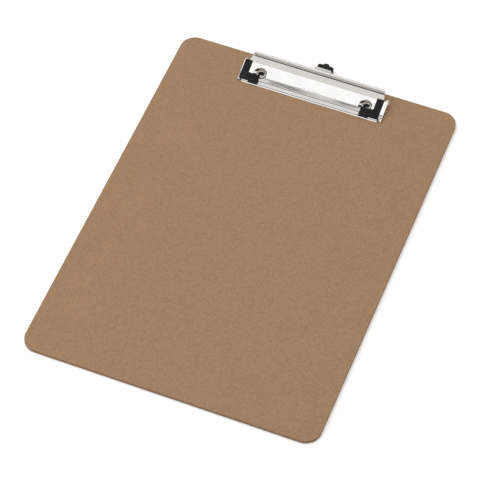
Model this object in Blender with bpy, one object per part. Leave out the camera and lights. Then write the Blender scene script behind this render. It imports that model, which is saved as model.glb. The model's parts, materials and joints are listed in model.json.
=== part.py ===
"""Clipboard: a hardboard writing board with a low, wide chrome lever clip.

Metres, +Z up. The origin is the middle of the board's underside, +Y runs up the
board towards the clip, and the clip is symmetrical about the plane X = 0.
The clip is one bent sheet, the jaw, which rocks on a long pin: pressing its
rolled rear edge down lifts the front lip. Two torsion springs close it again.
A flat hanger slides out from under the clip so that the board can hang on a nail.
"""

import math

import bmesh
import bpy
from mathutils import Matrix, Vector

# The board
BOARD_WIDTH = 0.230
BOARD_LENGTH = 0.320
BOARD_THICKNESS = 0.003
BOARD_CORNER_RADIUS = 0.012
BOARD_EDGE_ROUND = 0.0004
BOARD_REAR = BOARD_LENGTH / 2

# Clearances and sheet
GAP = 0.0003  # between pieces that touch
SHEET = 0.0008  # steel sheet of the clip

# The clip's places along the board
CLIP_HALF_WIDTH = 0.060
LIP_Y = BOARD_REAR - 0.0292  # front face of the jaw
PIN_Y = BOARD_REAR - 0.0124
PIN_Z = BOARD_THICKNESS + 0.0036
ROLL_Y = BOARD_REAR - 0.0056
ROLL_Z = BOARD_THICKNESS + 0.0076
EYELET_X = 0.044
EYELET_Y = BOARD_REAR - 0.0183

# The jaw, as the path of its upper surface from the front lip to the rolled edge
JAW_FOOT = BOARD_THICKNESS + 0.0004  # underside of the lip and the side skirts
PLATE_SLOPE = math.radians(17.0)
HUMP_RADIUS = 0.0032  # upper surface, about the pin
ROLL_RADIUS = 0.00145  # inside the rolled edge
ROLL_END = math.radians(200.0)
LIP_ROUND = 0.0008
GROOVE_Y = LIP_Y + 0.0034
GROOVE_HALF = 0.00055
GROOVE_DEPTH = 0.0003
SKIRT_ROUND = 0.0020  # between the plate and its side skirts
SKIRT_INNER_X = CLIP_HALF_WIDTH - 0.0021
SLIT_INNER_X = SKIRT_INNER_X - 0.0013
SLIT_END_Y = LIP_Y + 0.0020
HUMP_HALF_WIDTH = 0.0564  # of the sheet where it leaves the hump
REAR_HALF_WIDTH = 0.0545  # and at the rolled edge
EAR_END = math.radians(20.0)  # the skirts' rear ends stop at this angle about the pin
ACCESS_HOLE_RADIUS = 0.0055
ACCESS_HOLE_Y = EYELET_Y - 0.0012

# The base plate
BASE_BOTTOM = BOARD_THICKNESS + GAP
BASE_TOP = BASE_BOTTOM + SHEET
BASE_FRONT = LIP_Y + 0.0047
BASE_REAR = PIN_Y + 0.0042
BASE_HALF_WIDTH = 0.0560
CHANNEL_LIFT = 0.0009
CHANNEL_HALF_WIDTH = 0.0084
THROAT_HALF_WIDTH = 0.0072  # the channel's narrow rear end, which stops the hanger
THROAT_FRONT = BASE_REAR - 0.0015
THROAT_TAPER = 0.0012
SHOULDER = 0.0008
EAR_X = 0.0560  # middle of each pin ear
EAR_RADIUS = 0.0020
EAR_HALF_LENGTH = 0.0032
EAR_SINK = 0.0002  # how far the ear's foot reaches into the plate it grows from

# Pin, springs and eyelets
PIN_RADIUS = 0.0010
PIN_HOLE_RADIUS = 0.00109
PIN_HEAD_RADIUS = 0.0015
PIN_HEAD_THICKNESS = 0.0005
SPRING_X = 0.0250
SPRING_WIRE = 0.0008
SPRING_RADIUS = 0.0016  # of the wire's middle line
SPRING_PITCH = 0.0010
SPRING_FULL_TURNS = 5
SPRING_LEG = 0.0042
EYELET_BORE = 0.0024
EYELET_BARREL = 0.0029
EYELET_HOLE = 0.0032
EYELET_FLANGE = 0.0040
EYELET_FLANGE_HEIGHT = 0.0006
EYELET_RECESS_RADIUS = 0.0046
EYELET_RECESS_DEPTH = 0.0011
EYELET_CHAMFER = 0.0004
EYELET_ROLL = 0.0006
EYELET_EDGE = 0.0003

# Rubber corner grips
GRIP_THICKNESS = 0.0008
GRIP_SHIFT = -0.0011  # both grips sit a little to the left
GRIP_OUTER_X = 0.0578
GRIP_LEG_X = 0.0522  # inner edge of the leg that runs up the side
GRIP_LOBE_X = 0.0500  # the part that folds over the lip ends here
GRIP_INNER_X = 0.0422
GRIP_EDGE_Y = LIP_Y + 0.0015  # front edge beside the lobe
GRIP_FRONT_LEG_Y = LIP_Y + 0.0074
GRIP_WRAP = math.radians(140.0)  # the lobe ends at this angle round the lip's bend

# The hanger
TONGUE_THICKNESS = 0.0006
TONGUE_HALF_WIDTH = 0.0065
TONGUE_EAR_HALF_WIDTH = 0.0077
TONGUE_FRONT = LIP_Y + 0.0057
TONGUE_EAR_LENGTH = 0.0020
TONGUE_EAR_TAPER = 0.0003
TONGUE_BEND_RADIUS = 0.0005
TONGUE_LIP_Y = BOARD_REAR + 0.0031
TONGUE_LIP_TOP = BOARD_THICKNESS + 0.0034
TONGUE_LIP_HALF_WIDTH = 0.0070
SLOT_HALF_WIDTH = 0.0032
SLOT_FRONT = BOARD_REAR - 0.0112
SLOT_REAR = BOARD_REAR - 0.0022
PAD_LOBES = ((-0.0042, 0.0014, 0.0025), (0.0, 0.0026, 0.0030), (0.0042, 0.0014, 0.0025))
PAD_SHIFT = 0.0013  # the pad's middle, to the right of the tongue's
PAD_HALF_WIDTH = 0.0060
PAD_STEM = 0.0016  # straight part between the hanger's lip and the lobes
PAD_BOTTOM = BOARD_THICKNESS - 0.0009
PAD_TOP = BOARD_THICKNESS + 0.0032
PAD_EDGE_ROUND = 0.0003

ROUND_STEPS = 40
THROUGH = 0.020  # length of a cutter that goes right through a sheet
THROUGH_CLIP = 0.130  # and of one that goes through the whole clip from side to side


# ---------------------------------------------------------------- helpers


def clear_scene():
    for item in list(bpy.data.objects):
        bpy.data.objects.remove(item, do_unlink=True)


def finish_material(name, colour, roughness, metallic):
    made = bpy.data.materials.new(name)
    made.use_nodes = True
    shader = made.node_tree.nodes["Principled BSDF"]
    shader.inputs["Base Color"].default_value = (*colour, 1.0)
    shader.inputs["Roughness"].default_value = roughness
    shader.inputs["Metallic"].default_value = metallic
    return made


def add_object(name, bm, material):
    """Closes a bmesh into a named object with faces outward and round sides smooth."""
    mesh = bpy.data.meshes.new(name)
    bm.to_mesh(mesh)
    bm.free()
    made = bpy.data.objects.new(name, mesh)
    bpy.context.collection.objects.link(made)
    made.data.materials.append(material)
    mesh.shade_smooth()
    mesh.set_sharp_from_angle(angle=math.radians(35.0))
    return made


def apply_modifiers(item):
    bpy.ops.object.select_all(action="DESELECT")
    item.select_set(True)
    bpy.context.view_layer.objects.active = item
    for modifier in list(item.modifiers):
        bpy.ops.object.modifier_apply(modifier=modifier.name)


def combine(target, other, operation):
    """Joins or cuts target with other, and removes other."""
    boolean = target.modifiers.new(operation.lower(), "BOOLEAN")
    boolean.operation = operation
    boolean.solver = "EXACT"
    boolean.object = other
    apply_modifiers(target)
    bpy.data.objects.remove(other, do_unlink=True)


def arc(centre, radius, start, end, steps):
    """Points from angle start to angle end; angle 0 is the first axis."""
    angles = [start + (end - start) * k / steps for k in range(steps + 1)]
    return [(centre[0] + radius * math.cos(a), centre[1] + radius * math.sin(a)) for a in angles]


def all_cells(grid):
    return [(row, row + 1, column) for row in range(len(grid) - 1) for column in range(len(grid[row]) - 1)]


def sheet(name, grid, cells, thickness, side, material):
    """Bent sheet: grid[row][column] are points of one surface, and each cell spans two rows.

    side is -1 where the thickness lies under the surface, and 1 where it stands on it.
    """
    bm = bmesh.new()
    made = {}

    def vertex(row, column):
        if (row, column) not in made:
            made[row, column] = bm.verts.new(grid[row][column])
        return made[row, column]

    for row, after, column in cells:
        corners = ((row, column), (row, column + 1), (after, column + 1), (after, column))
        bm.faces.new([vertex(*corner) for corner in corners])
    item = add_object(name, bm, material)
    solid = item.modifiers.new("thickness", "SOLIDIFY")
    solid.thickness = thickness
    solid.offset = side
    solid.use_even_offset = True
    apply_modifiers(item)
    return item


def prism(name, outline, place, low, high, material):
    """Outline extruded from low to high; place(u, v, w) turns outline and depth into a point."""
    bm = bmesh.new()
    count = len(outline)
    ends = [[bm.verts.new(place(u, v, w)) for u, v in outline] for w in (low, high)]
    bm.faces.new(ends[0][::-1])
    bm.faces.new(ends[1])
    for k in range(count):
        after = (k + 1) % count
        bm.faces.new((ends[0][k], ends[0][after], ends[1][after], ends[1][k]))
    bmesh.ops.recalc_face_normals(bm, faces=bm.faces)
    return add_object(name, bm, material)


def along_x(u, v, w):
    return (w, u, v)


def along_z(u, v, w):
    return (u, v, w)


def turned(name, stations, place, material):
    """Closed shaft: stations are (distance along the axis, radius)."""
    bm = bmesh.new()
    rings = []
    for distance, radius in stations:
        circle = arc((0.0, 0.0), radius, 0.0, 2 * math.pi, ROUND_STEPS)[:-1]
        rings.append([bm.verts.new(place(u, v, distance)) for u, v in circle])
    for ring, following in zip(rings, rings[1:]):
        for k in range(ROUND_STEPS):
            after = (k + 1) % ROUND_STEPS
            bm.faces.new((ring[k], ring[after], following[after], following[k]))
    bm.faces.new(rings[0][::-1])
    bm.faces.new(rings[-1])
    bmesh.ops.recalc_face_normals(bm, faces=bm.faces)
    return add_object(name, bm, material)


def ring_of(name, profile, centre, material):
    """Closed ring: profile is an outline of (radius, height), turned about a vertical axis."""
    bm = bmesh.new()
    slices = []
    for k in range(ROUND_STEPS):
        turn = 2 * math.pi * k / ROUND_STEPS
        slices.append(
            [
                bm.verts.new((centre[0] + r * math.cos(turn), centre[1] + r * math.sin(turn), z))
                for r, z in profile
            ]
        )
    for k, here in enumerate(slices):
        there = slices[(k + 1) % ROUND_STEPS]
        for j in range(len(profile)):
            after = (j + 1) % len(profile)
            bm.faces.new((here[j], here[after], there[after], there[j]))
    bmesh.ops.recalc_face_normals(bm, faces=bm.faces)
    return add_object(name, bm, material)


def drill(radius, centre, axis, length):
    """A cutter: a long cylinder about axis through centre."""
    bm = bmesh.new()
    turn = Vector((0.0, 0.0, 1.0)).rotation_difference(Vector(axis)).to_matrix().to_4x4()
    bmesh.ops.create_cone(
        bm,
        cap_ends=True,
        segments=ROUND_STEPS,
        radius1=radius,
        radius2=radius,
        depth=length,
        matrix=Matrix.Translation(centre) @ turn,
    )
    return add_object("drill", bm, chrome)


# ---------------------------------------------------------------- the jaw's path


def plate_z(y, lift=0.0):
    """Height of the jaw's flat plate above y, which rises to the hump over the pin."""
    top_y = PIN_Y - HUMP_RADIUS * math.sin(PLATE_SLOPE)
    top_z = PIN_Z + HUMP_RADIUS * math.cos(PLATE_SLOPE)
    return top_z - (top_y - y) * math.tan(PLATE_SLOPE) + lift


def lip_bend(start, steps):
    """The bend between the front of the lip and the plate, from angle start on."""
    centre_y = LIP_Y + LIP_ROUND
    centre_z = plate_z(centre_y) - LIP_ROUND / math.cos(PLATE_SLOPE)
    return arc((centre_y, centre_z), LIP_ROUND, start, math.pi / 2 + PLATE_SLOPE, steps)


def groove_path():
    edges = (-1.6, -0.6, 0.6, 1.6)
    depths = (0.0, -GROOVE_DEPTH, -GROOVE_DEPTH, 0.0)
    stations = [GROOVE_Y + edge * GROOVE_HALF for edge in edges]
    return [(y, plate_z(y, depth)) for y, depth in zip(stations, depths)]


def rear_tangent():
    """Direction of the flat sheet between the hump and the rolled edge."""
    span = math.hypot(ROLL_Y - PIN_Y, ROLL_Z - PIN_Z)
    rise = math.atan2(ROLL_Z - PIN_Z, ROLL_Y - PIN_Y)
    return rise - math.asin((HUMP_RADIUS + ROLL_RADIUS) / span)


def hump_path():
    return arc(
        (PIN_Y, PIN_Z), HUMP_RADIUS, math.pi / 2 + PLATE_SLOPE, math.pi / 2 + rear_tangent(), 5
    )


def roll_path():
    return arc((ROLL_Y, ROLL_Z), ROLL_RADIUS, rear_tangent() - math.pi / 2, ROLL_END, 24)


def skirt_foot(y):
    """Lower edge of the side skirts: level in front of the pin, round behind it."""
    behind = min(max(y - PIN_Y, 0.0), HUMP_RADIUS)
    round_foot = PIN_Z - math.sqrt(HUMP_RADIUS**2 - behind**2)
    return max(JAW_FOOT, round_foot)


# ---------------------------------------------------------------- pieces


def make_board():
    half_x = BOARD_WIDTH / 2 - BOARD_CORNER_RADIUS
    half_y = BOARD_LENGTH / 2 - BOARD_CORNER_RADIUS
    outline = []
    for quarter, (sx, sy) in enumerate(((1, 1), (-1, 1), (-1, -1), (1, -1))):
        start = quarter * math.pi / 2
        outline += arc(
            (sx * half_x, sy * half_y), BOARD_CORNER_RADIUS, start, start + math.pi / 2, 10
        )
    board = prism("board", outline, along_z, 0.0, BOARD_THICKNESS, hardboard)
    rounding = board.modifiers.new("edge", "BEVEL")
    rounding.width = BOARD_EDGE_ROUND
    rounding.segments = 2
    rounding.limit_method = "ANGLE"
    rounding.angle_limit = math.radians(60.0)
    apply_modifiers(board)
    for side in (-1, 1):
        centre = (side * EYELET_X, EYELET_Y, 0.0)
        combine(board, drill(EYELET_HOLE, centre, (0, 0, 1), THROUGH), "DIFFERENCE")
        recess = drill(EYELET_RECESS_RADIUS, centre, (0, 0, 1), 2 * EYELET_RECESS_DEPTH)
        combine(board, recess, "DIFFERENCE")
    return board


def make_base_plate():
    """Flat strip with a raised channel for the hanger and an ear at each end for the pin."""
    rows = (
        (BASE_FRONT, CHANNEL_HALF_WIDTH),
        (THROAT_FRONT - THROAT_TAPER, CHANNEL_HALF_WIDTH),
        (THROAT_FRONT, THROAT_HALF_WIDTH),
        (BASE_REAR, THROAT_HALF_WIDTH),
    )
    grid = []
    for y, half in rows:
        raised = BASE_TOP + CHANNEL_LIFT
        grid.append(
            [
                (-BASE_HALF_WIDTH, y, BASE_TOP),
                (-half - SHOULDER, y, BASE_TOP),
                (-half, y, raised),
                (half, y, raised),
                (half + SHOULDER, y, BASE_TOP),
                (BASE_HALF_WIDTH, y, BASE_TOP),
            ]
        )
    base = sheet("base_plate", grid, all_cells(grid), SHEET, -1, chrome)
    ear_foot = BASE_TOP - EAR_SINK
    ear = [(PIN_Y + EAR_HALF_LENGTH, ear_foot)]
    ear += arc((PIN_Y, PIN_Z), EAR_RADIUS, math.radians(20), math.radians(160), 12)
    ear += [(PIN_Y - EAR_HALF_LENGTH, ear_foot)]
    for side in (-1, 1):
        low, high = side * EAR_X - SHEET / 2, side * EAR_X + SHEET / 2
        combine(base, prism("ear", ear, along_x, low, high, chrome), "UNION")
        hole = drill(EYELET_HOLE, (side * EYELET_X, EYELET_Y, BASE_TOP), (0, 0, 1), THROUGH)
        combine(base, hole, "DIFFERENCE")
    combine(base, drill(PIN_HOLE_RADIUS, (0.0, PIN_Y, PIN_Z), (1, 0, 0), THROUGH_CLIP), "DIFFERENCE")
    return base


def jaw_section(y, z, rear_x=REAR_HALF_WIDTH):
    """Points across the jaw at one row: skirt, rounding, plate, rounding, skirt."""
    foot = skirt_foot(y)
    rounding = min(SKIRT_ROUND, 0.75 * (z - foot))
    corner = arc((CLIP_HALF_WIDTH - rounding, z - rounding), rounding, 0.0, math.pi / 2, 4)
    right = [(CLIP_HALF_WIDTH, foot), *corner, (SKIRT_INNER_X, z), (SLIT_INNER_X, z), (rear_x, z)]
    left = [(-x, height) for x, height in right]
    return [(x, y, height) for x, height in left + right[::-1]]


def make_jaw():
    lip = [(LIP_Y, JAW_FOOT), *lip_bend(math.pi, 4)]
    front = lip + groove_path() + hump_path()
    ear = arc((PIN_Y, PIN_Z), HUMP_RADIUS, math.pi / 2 + rear_tangent(), EAR_END, 5)[1:]
    grid = [jaw_section(y, z) for y, z in front + roll_path() + ear]
    columns = len(grid[0]) - 1
    skirt_columns = 6  # from the skirt's foot to the inner edge of its rounding
    skirt_start = len(lip) - 1
    slit_rows = sum(1 for y, z in front if y < SLIT_END_Y)
    hump_end = len(front) - 1
    grid[hump_end] = jaw_section(*front[hump_end], HUMP_HALF_WIDTH)
    ear_start = len(front) + len(roll_path())

    def kept(row, column):
        from_side = min(column, columns - 1 - column)
        if row >= hump_end:
            return from_side > skirt_columns + 1
        if from_side < skirt_columns:
            return row >= skirt_start
        return from_side > skirt_columns or row >= slit_rows

    cells = [cell for cell in all_cells(grid[:ear_start]) if kept(cell[0], cell[2])]
    # The skirts' round rear ears are rows of their own, which leave the hump's last row.
    ear_rows = [hump_end, *range(ear_start, len(grid))]
    sides = [c for c in range(columns) if min(c, columns - 1 - c) < skirt_columns]
    cells += [(row, after, c) for row, after in zip(ear_rows, ear_rows[1:]) for c in sides]
    bent = sheet("jaw_plate", grid, cells, SHEET, -1, chrome)
    slope_axis = (0.0, -math.sin(PLATE_SLOPE), math.cos(PLATE_SLOPE))
    for side in (-1, 1):
        centre = (side * EYELET_X, ACCESS_HOLE_Y, BASE_TOP)
        combine(bent, drill(ACCESS_HOLE_RADIUS, centre, slope_axis, THROUGH), "DIFFERENCE")
    combine(bent, drill(PIN_HOLE_RADIUS, (0.0, PIN_Y, PIN_Z), (1, 0, 0), THROUGH_CLIP), "DIFFERENCE")
    return bent


def lifted(path, distance):
    """The path moved out along its own normal."""
    moved = []
    for k, (y, z) in enumerate(path):
        before = path[max(k - 1, 0)]
        after = path[min(k + 1, len(path) - 1)]
        run, rise = after[0] - before[0], after[1] - before[1]
        length = math.hypot(run, rise)
        moved.append((y - rise / length * distance, z + run / length * distance))
    return moved


def make_corner_grip(name, side):
    """L of rubber on the jaw's front corner, with a lobe that folds over the lip."""
    lobe = lip_bend(GRIP_WRAP, 3)
    plate = [(y, plate_z(y)) for y in (GRIP_EDGE_Y, GROOVE_Y, GRIP_FRONT_LEG_Y)]
    path = lifted(lobe + plate + hump_path()[:-1], GAP)
    leg_row = len(lobe)
    side_leg_row = len(lobe) + 2
    across = [GRIP_INNER_X, GRIP_LOBE_X, GRIP_LEG_X, GRIP_OUTER_X]
    if side < 0:
        across = [-x for x in across[::-1]]
    grid = [[(x + GRIP_SHIFT, y, z) for x in across] for y, z in path]

    def kept(row, column):
        place = column if side > 0 else 2 - column  # 0 at the lobe, 2 at the side leg
        if row < leg_row:
            return place == 0
        return row < side_leg_row or place == 2

    cells = [cell for cell in all_cells(grid) if kept(cell[0], cell[2])]
    return sheet(name, grid, cells, GRIP_THICKNESS, 1, rubber)


def make_pin():
    inner = CLIP_HALF_WIDTH + GAP
    outer = inner + PIN_HEAD_THICKNESS
    stations = (
        (-outer, PIN_HEAD_RADIUS),
        (-inner, PIN_HEAD_RADIUS),
        (-inner, PIN_RADIUS),
        (inner, PIN_RADIUS),
        (inner, PIN_HEAD_RADIUS),
        (outer, PIN_HEAD_RADIUS),
    )
    return turned("hinge_pin", stations, lambda u, v, w: (w, PIN_Y + u, PIN_Z + v), steel)


def make_spring(name, middle_x):
    """Torsion spring: one leg under the jaw's rear sheet, one leg down on the base plate."""
    start = math.pi / 2 + rear_tangent()
    end = 1.5 * math.pi + 2 * math.pi * SPRING_FULL_TURNS
    turns = (end - start) / (2 * math.pi)
    left = middle_x - turns * SPRING_PITCH / 2
    steps = round(turns * 14)
    coil = []
    for k in range(steps + 1):
        angle = start + (end - start) * k / steps
        coil.append(
            (
                left + SPRING_PITCH * (angle - start) / (2 * math.pi),
                PIN_Y + SPRING_RADIUS * math.cos(angle),
                PIN_Z + SPRING_RADIUS * math.sin(angle),
            )
        )
    slope = rear_tangent()
    first, last = coil[0], coil[-1]
    upper = (first[0], first[1] + SPRING_LEG * math.cos(slope), first[2] + SPRING_LEG * math.sin(slope))
    lower = (last[0], last[1] + SPRING_LEG * 0.8, last[2])
    points = [upper, *coil, lower]
    curve = bpy.data.curves.new(name, "CURVE")
    curve.dimensions = "3D"
    curve.bevel_depth = SPRING_WIRE / 2
    curve.bevel_resolution = 2
    curve.use_fill_caps = True
    line = curve.splines.new("POLY")
    line.points.add(len(points) - 1)
    for point, place in zip(line.points, points):
        point.co = (*place, 1.0)
    spring = bpy.data.objects.new(name, curve)
    bpy.context.collection.objects.link(spring)
    curve.materials.append(steel)
    return spring


def make_eyelet(name, side):
    """Hollow rivet through the base plate and the board, rolled over at both ends."""
    top = BASE_TOP + GAP
    crown = top + EYELET_FLANGE_HEIGHT
    low = EYELET_RECESS_DEPTH - GAP
    foot = low - EYELET_FLANGE_HEIGHT
    mouth = EYELET_BORE + EYELET_CHAMFER
    shoulder = EYELET_FLANGE - EYELET_ROLL
    profile = [
        (EYELET_BARREL, low),
        (EYELET_BARREL, top),
        (EYELET_FLANGE, top),
        (EYELET_FLANGE, top + EYELET_EDGE),
        (shoulder, crown),
        (mouth, crown),
        (EYELET_BORE, crown - EYELET_CHAMFER),
        (EYELET_BORE, foot + EYELET_CHAMFER),
        (mouth, foot),
        (shoulder, foot),
        (EYELET_FLANGE, foot + EYELET_EDGE),
        (EYELET_FLANGE, low),
    ]
    return ring_of(name, profile, (side * EYELET_X, EYELET_Y), steel)


def make_hanger_tongue():
    """Flat steel slide with a nail slot, ears that stop it, and a rear lip turned up."""
    top = BASE_BOTTOM + TONGUE_THICKNESS
    ear_end = TONGUE_FRONT + TONGUE_EAR_LENGTH
    bend = arc(
        (TONGUE_LIP_Y - TONGUE_BEND_RADIUS, top + TONGUE_BEND_RADIUS),
        TONGUE_BEND_RADIUS,
        -math.pi / 2,
        0.0,
        4,
    )
    path = [
        (TONGUE_FRONT, top, TONGUE_EAR_HALF_WIDTH),
        (ear_end, top, TONGUE_EAR_HALF_WIDTH),
        (ear_end + TONGUE_EAR_TAPER, top, TONGUE_HALF_WIDTH),
        (BOARD_REAR, top, TONGUE_HALF_WIDTH),
    ]
    path += [(y, z, TONGUE_LIP_HALF_WIDTH) for y, z in bend]
    path.append((TONGUE_LIP_Y, TONGUE_LIP_TOP, TONGUE_LIP_HALF_WIDTH))
    grid = [[(-half, y, z), (half, y, z)] for y, z, half in path]
    tongue = sheet("hanger_tongue", grid, all_cells(grid), TONGUE_THICKNESS, -1, chrome)
    slot = arc((0.0, SLOT_REAR - SLOT_HALF_WIDTH), SLOT_HALF_WIDTH, 0.0, math.pi, 12)
    slot += arc((0.0, SLOT_FRONT + SLOT_HALF_WIDTH), SLOT_HALF_WIDTH, math.pi, 2 * math.pi, 12)
    combine(tongue, prism("slot", slot, along_z, 0.0, THROUGH, chrome), "DIFFERENCE")
    return tongue


def make_hanger_grip():
    """Three-lobed plastic finger pad behind the hanger's lip."""
    front = TONGUE_LIP_Y + TONGUE_THICKNESS + GAP
    back = front + PAD_STEM
    left, right = PAD_SHIFT - PAD_HALF_WIDTH, PAD_SHIFT + PAD_HALF_WIDTH
    stem = [(left, front), (right, front), (right, back), (left, back)]
    pad = prism("hanger_grip", stem, along_z, PAD_BOTTOM, PAD_TOP, plastic)
    for x, reach, radius in PAD_LOBES:
        half = math.acos(-min(reach, radius) / radius)  # the lobe is cut off flat in front
        lobe = arc((x + PAD_SHIFT, front + reach), radius, math.pi / 2 - half, math.pi / 2 + half, 20)
        combine(pad, prism("lobe", lobe, along_z, PAD_BOTTOM, PAD_TOP, plastic), "UNION")
    edge = pad.modifiers.new("edge", "BEVEL")
    edge.width = PAD_EDGE_ROUND
    edge.segments = 2
    edge.limit_method = "ANGLE"
    edge.angle_limit = math.radians(60.0)
    apply_modifiers(pad)
    return pad


def attach(axis_name, place, pieces):
    """Parents the moving pieces to an empty on their joint's axis, without moving them."""
    empty = bpy.data.objects.new(axis_name, None)
    empty.location = place
    empty.empty_display_size = 0.01
    bpy.context.collection.objects.link(empty)
    bpy.context.view_layer.update()
    for piece in pieces:
        piece.parent = empty
        piece.matrix_parent_inverse = empty.matrix_world.inverted()


# ---------------------------------------------------------------- the assembly

clear_scene()
hardboard = finish_material("hardboard", (0.37, 0.23, 0.13), 0.75, 0.0)
chrome = finish_material("chrome", (0.80, 0.80, 0.80), 0.12, 1.0)
steel = finish_material("bright_steel", (0.70, 0.70, 0.70), 0.25, 1.0)
rubber = finish_material("black_rubber", (0.02, 0.02, 0.02), 0.6, 0.0)
plastic = finish_material("black_plastic", (0.015, 0.015, 0.015), 0.45, 0.0)

make_board()
make_base_plate()
make_pin()
make_spring("left_spring", -SPRING_X)
make_spring("right_spring", SPRING_X)
make_eyelet("left_eyelet", -1)
make_eyelet("right_eyelet", 1)
jaw_pieces = [
    make_jaw(),
    make_corner_grip("left_corner_grip", -1),
    make_corner_grip("right_corner_grip", 1),
]
hanger_pieces = [make_hanger_tongue(), make_hanger_grip()]
attach("jaw_axis", (0.0, PIN_Y, PIN_Z), jaw_pieces)
attach("hanger_axis", (0.0, TONGUE_FRONT, BASE_BOTTOM), hanger_pieces)
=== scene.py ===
# %% [markdown]
# # A hardboard clipboard, piece by piece
# This file dresses a finished mechanism. The mechanism is a set of plain solids that already have
# the right sizes, places and joints. Each cell below takes one piece or one finish, says what it is
# on the real object, and then makes it. Everything is in metres, with +Y running up the board to
# the clip and +Z out of the writing face.

# %% Load the mechanism
import json
import math

import bmesh
import bpy
from mathutils import Matrix, Vector


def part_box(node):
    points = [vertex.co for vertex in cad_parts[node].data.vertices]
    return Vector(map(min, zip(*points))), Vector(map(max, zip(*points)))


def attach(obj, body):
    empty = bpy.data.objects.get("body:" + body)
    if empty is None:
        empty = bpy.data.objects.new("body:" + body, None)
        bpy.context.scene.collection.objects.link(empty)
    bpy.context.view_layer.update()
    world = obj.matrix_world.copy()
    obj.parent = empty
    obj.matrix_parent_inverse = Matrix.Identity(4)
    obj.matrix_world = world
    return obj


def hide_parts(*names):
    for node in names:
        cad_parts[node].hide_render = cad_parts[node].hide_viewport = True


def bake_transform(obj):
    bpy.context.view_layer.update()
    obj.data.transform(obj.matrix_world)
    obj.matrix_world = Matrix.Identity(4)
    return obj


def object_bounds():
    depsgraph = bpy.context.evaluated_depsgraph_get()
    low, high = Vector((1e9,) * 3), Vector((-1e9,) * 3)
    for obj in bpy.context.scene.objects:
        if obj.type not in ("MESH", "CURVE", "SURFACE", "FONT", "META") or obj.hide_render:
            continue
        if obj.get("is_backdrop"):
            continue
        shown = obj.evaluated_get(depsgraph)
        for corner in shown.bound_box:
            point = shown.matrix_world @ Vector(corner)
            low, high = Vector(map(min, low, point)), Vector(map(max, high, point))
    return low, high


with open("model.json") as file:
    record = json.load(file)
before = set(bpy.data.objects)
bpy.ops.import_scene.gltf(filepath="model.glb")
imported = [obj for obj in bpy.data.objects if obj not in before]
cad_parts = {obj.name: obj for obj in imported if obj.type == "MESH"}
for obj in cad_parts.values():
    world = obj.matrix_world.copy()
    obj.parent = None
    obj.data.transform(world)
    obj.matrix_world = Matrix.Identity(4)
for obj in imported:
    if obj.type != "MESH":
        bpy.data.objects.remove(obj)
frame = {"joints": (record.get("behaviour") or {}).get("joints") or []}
cad_low, cad_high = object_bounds()

# %% [markdown]
# ## The measures everything else hangs on
# A maker starts by reading the drawing. The clip turns on one pin, so the pin's axis comes from the
# joint, and the other places come from the boxes of the mechanism's own pieces. Reading them here,
# and not typing them again, keeps the looks and the mechanism together if a size ever changes.

# %% Read the drawing
MM = 0.001
board_low, board_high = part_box("board")
jaw_low, jaw_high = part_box("jaw_plate")
eyelet_low, eyelet_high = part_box("right_eyelet")
grip_low, grip_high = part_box("right_corner_grip")
left_grip_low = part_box("left_corner_grip")[0]
spring_low, spring_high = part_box("right_spring")
pin_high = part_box("hinge_pin")[1]
base_low, base_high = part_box("base_plate")
tongue_low, tongue_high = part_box("hanger_tongue")
pad_low, pad_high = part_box("hanger_grip")
hinge = next(joint for joint in frame["joints"] if joint["name"] == "jaw_hinge")
PIN_Y, PIN_Z = hinge["pos_m"][1], hinge["pos_m"][2]
EYELET_X = (eyelet_low.x + eyelet_high.x) / 2
EYELET_Y = (eyelet_low.y + eyelet_high.y) / 2
print("pin axis at Y %.1f mm, Z %.1f mm" % (PIN_Y / MM, PIN_Z / MM))
print("eyelets at X +-%.1f mm, Y %.1f mm" % (EYELET_X / MM, EYELET_Y / MM))

# %% [markdown]
# ## The camera
# A flat thing is best seen from well above it and from some way off, with a long lens, so that the
# far edge stays almost as wide as the near one. The camera stands to the right of the board and
# looks at its middle. It is placed by two angles and a distance, which are easier to think about
# than three coordinates.

# %% Place the camera
AIM = Vector((-0.0025, -0.0081, -0.0048))
CAMERA_TURN = math.radians(21.62)
CAMERA_RISE = math.radians(54.14)
CAMERA_DISTANCE = 1.787


def away_from(turn, rise):
    """Direction from the object towards a viewer: turn is round to the right, rise is upward."""
    level_part = math.cos(rise)
    return Vector((math.sin(turn) * level_part, -math.cos(turn) * level_part, math.sin(rise)))


camera_data = bpy.data.cameras.new("camera")
camera_data.lens = 177.9
camera_data.sensor_width = 36.0
camera_data.clip_start = 0.05
camera = bpy.data.objects.new("camera", camera_data)
bpy.context.collection.objects.link(camera)
to_camera = away_from(CAMERA_TURN, CAMERA_RISE)
camera.location = AIM + to_camera * CAMERA_DISTANCE
camera.rotation_mode = "QUATERNION"
camera.rotation_quaternion = (-to_camera).to_track_quat("-Z", "Y")
bpy.context.scene.camera = camera
print("camera at", [round(value, 3) for value in camera.location])

# %% [markdown]
# ## The studio
# Chrome has no colour of its own: it shows the room. A white room with nothing dark in it turns
# chrome into white paper, so a tent of strips is built round it. A bright softbox hangs above for
# the flat plate. One thin dark slit just past it draws a line along the plate's front. Warm grey
# walls behind and in front serve the hump, the rolled edge and the bends, and a dark strip low in
# front, with a bright one under it, gives the deep lines that say "polished". Here the tent is the
# sky itself. Its colour depends on one angle, measured from the rear horizon over the top to the
# front horizon, so every strip runs from left to right, along the clip. The camera itself is shown
# plain white.

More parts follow.
